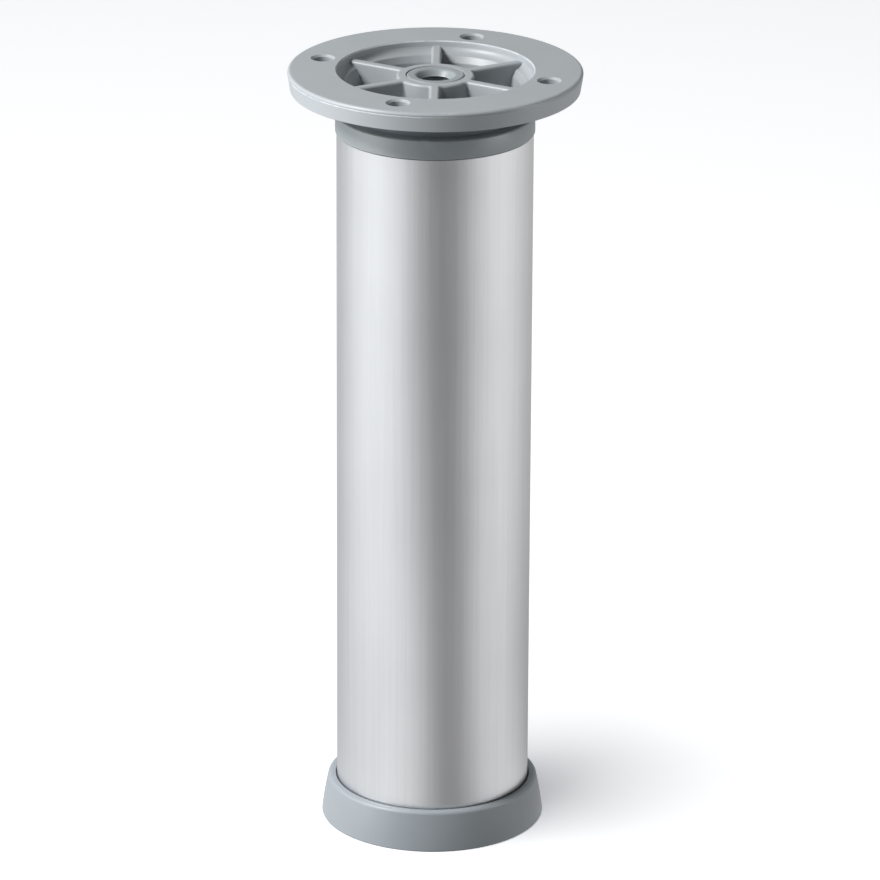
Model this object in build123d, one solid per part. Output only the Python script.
from build123d import *
import os

# Adjustable round furniture leg. Units are millimetres, +Z points up, and the origin is on the
# floor, at the centre of the foot's base. The foot is screwed out a little, as it stands in use.

# Heights, stacked from the floor up
foot_floor = 3.0
foot_unscrewed = 2.9
tube_length = 181.0
collar_height = 5.0
plate_height = 11.0

# Tube
tube_diameter = 50.0
tube_wall = 1.2
tube_end_chamfer = 0.25

# Mounting plate: flange
plate_diameter = 75.0
flange_thickness = 5.1
flange_draft = 0.8
flange_top_round = 0.8
flange_lower_round = 0.25

# Mounting plate: stepped recess in the top and the neck round it
recess_diameter = 49.8
recess_rim_depth = 1.5
recess_rim_draft = 0.2
recess_lip_round = 0.35
cove_sag = 0.25
step_diameter = 46.2
step_width = 0.45
step_depth = 2.95
step_slope = 0.15
step_round = 0.5
well_diameter = 43.2
well_depth = 4.8
well_draft = 0.6
well_round = 0.8
well_floor = 2.1
neck_lower_diameter = 45.4
neck_upper_diameter = 48.6
neck_root_round = 0.8

# Mounting plate: hub and ribs in the recess
hub_diameter = 19.8
rib_count = 6
rib_first_angle = 29.2
rib_thickness = 2.5
rib_drop = 1.4
rib_corner_round = 0.7
rib_top_round = 0.65

# Mounting plate: screw holes
screw_count = 4
screw_circle = 60.0
screw_first_angle = 72.0
screw_hole_diameter = 5.2
screw_mouth_round = 0.5

# Mounting plate: cored underside of the flange
core_depth = 2.5
core_rim_wall = 2.4
core_neck_wall = 2.0
core_rib_count = 12
core_rib_thickness = 1.8
screw_boss_diameter = 10.4

# Moulded plugs pressed into both ends of the tube
skirt_length = 18.0
skirt_wall = 2.0
skirt_clearance = 0.3
skirt_lead = 1.0
crush_rib_count = 12
crush_rib_width = 1.4
crush_rib_start = 1.5
deck_thickness = 3.0
web_count = 6
web_thickness = 1.8
web_drop = 3.0

# Top plug: collar and hollow spigot
collar_overhang = 0.35
collar_top_round = 0.5
collar_lower_round = 0.2
spigot_diameter = 15.0
spigot_clearance = 0.1
spigot_edge_chamfer = 0.5
spigot_mouth_diameter = 10.0
spigot_mouth_depth = 2.4
spigot_hole_diameter = 6.4
spigot_hole_depth = 16.0
plug_boss_diameter = 12.0
plug_boss_height = 9.0

# Adjusting screw, of nominal size M10, with its nut
thread_diameter = 10.0
thread_clearance = 0.05
screw_length = 33.0
screw_end_chamfer = 1.0
screw_flange_diameter = 15.0
screw_flange_thickness = 2.0
pivot_diameter = 8.0
pivot_clearance = 0.05
pivot_play = 0.05
rivet_diameter = 12.0
rivet_thickness = 1.0
rivet_clearance = 0.3
nut_across_flats = 16.0
nut_height = 8.4
nut_chamfer = 0.7
nut_pocket_clearance = 0.05
nut_pocket_mouth = 2.5
nut_boss_diameter = 24.0
nut_roof = 3.2
shank_hole_clearance = 0.4

# Foot: flared cup round the lower end of the tube
foot_height = 10.5
foot_rim_wall = 1.9
foot_flare = 1.8
foot_bulge = 0.15
foot_rim_round = 1.1
foot_lip_round = 0.3
foot_base_round = 0.3
foot_clearance = 0.25
base_land_width = 5.3
base_recess_depth = 0.6

# Radii and levels that follow from the sizes above
tube_radius = tube_diameter / 2
bore_radius = tube_radius - tube_wall
plate_radius = plate_diameter / 2
skirt_radius = bore_radius - skirt_clearance
thread_radius = thread_diameter / 2
tube_bottom_z = foot_floor + foot_unscrewed
tube_top_z = tube_bottom_z + tube_length
collar_top_z = tube_top_z + collar_height
plate_top_z = collar_top_z + plate_height
flange_lower_z = plate_top_z - flange_thickness
well_floor_z = collar_top_z + well_floor
step_z = plate_top_z - step_depth
rib_top_z = plate_top_z - rib_drop
overlap = 1.0

ON_BASE = (Align.CENTER, Align.CENTER, Align.MIN)
FROM_AXIS = (Align.MIN, Align.CENTER, Align.MIN)


def turned(points, rounds):
    """A solid of revolution about Z from (radius, height) points, with some corners rounded."""
    outline = make_face(Polyline(*points, close=True))
    for (radius, height), size in rounds:
        corner = outline.vertices().sort_by_distance(Vector(radius, height))[0]
        outline = fillet(corner, size)
    return revolve(Plane.XZ * outline, Axis.Z)


def at_angles(count, first_angle, shape):
    """Copies of a shape, spaced evenly round the Z axis, as one part."""
    copies = Part()
    for spot in PolarLocations(0, count, start_angle=first_angle):
        copies += spot * shape
    return copies


def plate_envelope():
    """The plate's outer form, with no recess: flange above and tapered neck below."""
    flange_lower_radius = plate_radius - flange_draft
    neck_upper = (neck_upper_diameter / 2, flange_lower_z)
    flange_lower = (flange_lower_radius, flange_lower_z)
    flange_upper = (plate_radius, plate_top_z)
    points = [
        (0, collar_top_z),
        (neck_lower_diameter / 2, collar_top_z),
        neck_upper,
        flange_lower,
        flange_upper,
        (0, plate_top_z),
    ]
    rounds = [
        (neck_upper, neck_root_round),
        (flange_lower, flange_lower_round),
        (flange_upper, flange_top_round),
    ]
    return turned(points, rounds)


def recess_space():
    """The stepped hollow in the plate's top, open upwards."""
    lip_radius = recess_diameter / 2
    lip_flare = lip_radius + recess_lip_round
    rim_foot = Vector(lip_radius - recess_rim_draft, plate_top_z - recess_rim_depth)
    step_outer = Vector(step_diameter / 2, step_z)
    step_inner = Vector(step_diameter / 2 - step_width, step_z - step_slope)
    well_top = Vector(well_diameter / 2, plate_top_z - well_depth)
    across = (rim_foot - step_outer).normalized()
    cove_middle = (rim_foot + step_outer) / 2 + Vector(across.Y, -across.X) * cove_sag
    upper = Polyline(
        rim_foot,
        (lip_radius, plate_top_z - recess_lip_round),
        (lip_flare, plate_top_z),
        (lip_flare, plate_top_z + overlap),
        (0, plate_top_z + overlap),
        (0, well_floor_z),
        (well_diameter / 2 - well_draft, well_floor_z),
        well_top,
        step_inner,
        step_outer,
    )
    outline = make_face(upper + ThreePointArc(step_outer, cove_middle, rim_foot))
    for place, size in [(step_inner, step_round), (well_top, well_round)]:
        corner = outline.vertices().sort_by_distance(place)[0]
        outline = fillet(corner, size)
    return revolve(Plane.XZ * outline, Axis.Z)


def rib_spider():
    """The hub and the ribs that join it to the wall of the recess."""
    arm = Rectangle(plate_radius, rib_thickness, align=(Align.MIN, Align.CENTER))
    outline = Sketch() + Circle(hub_diameter / 2)
    for spot in PolarLocations(0, rib_count, start_angle=rib_first_angle):
        outline += spot * arm
    inner_corners = outline.vertices().filter_by(
        lambda corner: Vector(corner.X, corner.Y).length < hub_diameter
    )
    outline = fillet(inner_corners, rib_corner_round)
    spider = extrude(Pos(0, 0, collar_top_z) * outline, rib_top_z - collar_top_z)
    top_edges = spider.faces().sort_by(Axis.Z)[-1].edges()
    return fillet(top_edges, rib_top_round)


def flange_coring():
    """The ring of pockets under the flange, between its rim, the neck, the ribs and the bosses."""
    outer_radius = plate_radius - flange_draft - core_rim_wall
    inner_radius = neck_upper_diameter / 2 + core_neck_wall
    low_z = flange_lower_z - overlap
    height = core_depth + overlap
    ring = Cylinder(outer_radius, height, align=ON_BASE) - Cylinder(inner_radius, height, align=ON_BASE)
    rib = Box(plate_radius, core_rib_thickness, height, align=FROM_AXIS)
    rib_step = 360 / core_rib_count
    ring -= at_angles(core_rib_count, screw_first_angle + rib_step / 2, rib)
    boss = Pos(screw_circle / 2, 0, 0) * Cylinder(screw_boss_diameter / 2, height, align=ON_BASE)
    ring -= at_angles(screw_count, screw_first_angle, boss)
    return Pos(0, 0, low_z) * ring


def mounting_plate():
    """Round moulded plate with a ribbed recess, a central hub and four screw holes."""
    plate = plate_envelope() - (recess_space() - rib_spider())
    plate -= flange_coring()
    bore = Cylinder(spigot_diameter / 2 + spigot_clearance, plate_height + overlap, align=ON_BASE)
    plate -= Pos(0, 0, collar_top_z) * bore
    hole = turned(
        [
            (0, flange_lower_z - overlap),
            (screw_hole_diameter / 2, flange_lower_z - overlap),
            (screw_hole_diameter / 2, plate_top_z - screw_mouth_round),
            (screw_hole_diameter / 2 + screw_mouth_round, plate_top_z),
            (screw_hole_diameter / 2 + screw_mouth_round, plate_top_z + overlap),
            (0, plate_top_z + overlap),
        ],
        [],
    )
    plate -= at_angles(screw_count, screw_first_angle, Pos(screw_circle / 2, 0, 0) * hole)
    return plate


def tube():
    """Drawn round tube, cut square, with its edges broken."""
    wall = Cylinder(tube_radius, tube_length, align=ON_BASE) - Cylinder(bore_radius, tube_length, align=ON_BASE)
    wall = chamfer(wall.edges().filter_by(GeomType.CIRCLE), tube_end_chamfer)
    return Pos(0, 0, tube_bottom_z) * wall


def plug(boss_diameter, boss_height):
    """Moulded plug for a tube end: the tube's end is at z = 0 and the skirt rises from it."""
    skirt = Cylinder(skirt_radius, skirt_length, align=ON_BASE)
    skirt = chamfer(skirt.edges().filter_by(GeomType.CIRCLE).sort_by(Axis.Z)[-1], skirt_lead)
    inner_radius = skirt_radius - skirt_wall
    skirt -= Pos(0, 0, deck_thickness) * Cylinder(inner_radius, skirt_length, align=ON_BASE)
    crush_length = skirt_length - skirt_lead - 2 * crush_rib_start
    crush_rib = Pos(inner_radius + skirt_wall / 2, 0, crush_rib_start) * Box(
        skirt_wall, crush_rib_width, crush_length, align=FROM_AXIS
    )
    crush_ribs = at_angles(crush_rib_count, 0, crush_rib)
    skirt += crush_ribs & Cylinder(bore_radius, skirt_length, align=ON_BASE)
    skirt += Cylinder(boss_diameter / 2, boss_height, align=ON_BASE)
    web = Box(inner_radius + skirt_wall / 2, web_thickness, skirt_length - web_drop, align=FROM_AXIS)
    webs = at_angles(web_count, 0, web)
    web_limit = Cylinder(inner_radius + skirt_wall / 2, boss_height, align=ON_BASE)
    return skirt + (webs & web_limit)


def top_plug():
    """Collar, plug and hollow spigot in one moulding, which carry the plate on the tube."""
    boss_height = deck_thickness + plug_boss_height
    moulding = Pos(0, 0, tube_top_z) * (Rot(X=180) * plug(plug_boss_diameter, boss_height))
    collar_radius = tube_radius + collar_overhang
    collar_edge = (collar_radius, collar_top_z)
    collar_foot = (collar_radius, tube_top_z)
    collar = turned(
        [(0, tube_top_z), collar_foot, collar_edge, (0, collar_top_z)],
        [(collar_edge, collar_top_round), (collar_foot, collar_lower_round)],
    )
    spigot = Cylinder(spigot_diameter / 2, rib_top_z - collar_top_z, align=ON_BASE)
    spigot = chamfer(spigot.edges().filter_by(GeomType.CIRCLE).sort_by(Axis.Z)[-1], spigot_edge_chamfer)
    moulding += collar + Pos(0, 0, collar_top_z) * spigot
    hole_radius = spigot_hole_diameter / 2
    mouth = turned(
        [
            (0, rib_top_z - spigot_hole_depth),
            (hole_radius, rib_top_z - spigot_hole_depth),
            (hole_radius, rib_top_z - spigot_mouth_depth),
            (spigot_mouth_diameter / 2, rib_top_z),
            (spigot_mouth_diameter / 2, rib_top_z + overlap),
            (0, rib_top_z + overlap),
        ],
        [],
    )
    return moulding - mouth


def hexagon(across_flats, height):
    """A hexagonal prism that stands on z = 0."""
    return extrude(RegularPolygon(across_flats / 2, 6, major_radius=False), height)


def bottom_plug():
    """Plug for the tube's lower end, with a hexagonal pocket that holds the nut from below."""
    pocket_depth = nut_pocket_mouth + nut_height
    moulding = plug(nut_boss_diameter, pocket_depth + nut_roof)
    moulding -= hexagon(nut_across_flats + 2 * nut_pocket_clearance, pocket_depth)
    shank_radius = thread_radius + shank_hole_clearance
    moulding -= Cylinder(shank_radius, pocket_depth + nut_roof + overlap, align=ON_BASE)
    return Pos(0, 0, tube_bottom_z) * moulding


def foot_nut():
    """Hexagonal nut that is captive in the bottom plug."""
    blank = Cylinder(nut_across_flats / 3**0.5, nut_height, align=ON_BASE)
    blank = chamfer(blank.edges().filter_by(GeomType.CIRCLE), nut_chamfer)
    nut = blank & hexagon(nut_across_flats, nut_height)
    nut -= Cylinder(thread_radius + thread_clearance, nut_height, align=ON_BASE)
    return Pos(0, 0, tube_bottom_z + nut_pocket_mouth) * nut


def foot_screw():
    """Adjusting screw: thread, flange on the foot's floor, pivot through it, riveted end below."""
    flange_z = foot_floor + pivot_play
    rivet_top_z = base_recess_depth + rivet_clearance + rivet_thickness
    shank_z = flange_z + screw_flange_thickness
    end_z = shank_z + screw_length
    end = (thread_radius, end_z)
    return turned(
        [
            (0, rivet_top_z - rivet_thickness),
            (rivet_diameter / 2 - rivet_thickness / 2, rivet_top_z - rivet_thickness),
            (rivet_diameter / 2, rivet_top_z - rivet_thickness / 2),
            (rivet_diameter / 2, rivet_top_z),
            (pivot_diameter / 2, rivet_top_z),
            (pivot_diameter / 2, flange_z),
            (screw_flange_diameter / 2, flange_z),
            (screw_flange_diameter / 2, shank_z),
            (thread_radius, shank_z),
            (thread_radius, end_z - screw_end_chamfer),
            (thread_radius - screw_end_chamfer, end_z),
            (0, end_z),
        ],
        [],
    )


def foot():
    """Flared cup with a flat base, in which the lower end of the tube runs."""
    inner_radius = tube_radius + foot_clearance
    pivot_hole = pivot_diameter / 2 + pivot_clearance
    rivet_hole = rivet_diameter / 2 + rivet_clearance
    rivet_seat_z = base_recess_depth + rivet_clearance + rivet_thickness + pivot_play
    shoulder = (inner_radius + foot_rim_wall, foot_height)
    base = (shoulder[0] + foot_flare, 0)
    lip = (inner_radius, foot_height)
    middle = ((base[0] + shoulder[0]) / 2 + foot_bulge, foot_height / 2)
    inside = Polyline(
        shoulder,
        lip,
        (inner_radius, foot_floor),
        (pivot_hole, foot_floor),
        (pivot_hole, rivet_seat_z),
        (rivet_hole, rivet_seat_z),
        (rivet_hole, base_recess_depth),
        (base[0] - base_land_width, base_recess_depth),
        (base[0] - base_land_width, 0),
        base,
    )
    outline = make_face(inside + ThreePointArc(base, middle, shoulder))
    for (radius, height), size in [
        (shoulder, foot_rim_round),
        (lip, foot_lip_round),
        (base, foot_base_round),
    ]:
        corner = outline.vertices().sort_by_distance(Vector(radius, height))[0]
        outline = fillet(corner, size)
    return revolve(Plane.XZ * outline, Axis.Z)


os.makedirs("parts", exist_ok=True)

pieces = {
    "mounting_plate": mounting_plate(),
    "top_plug": top_plug(),
    "tube": tube(),
    "bottom_plug": bottom_plug(),
    "foot_nut": foot_nut(),
    "foot_screw": foot_screw(),
    "foot": foot(),
}
for name, piece in pieces.items():
    export_step(piece, f"parts/{name}.step")
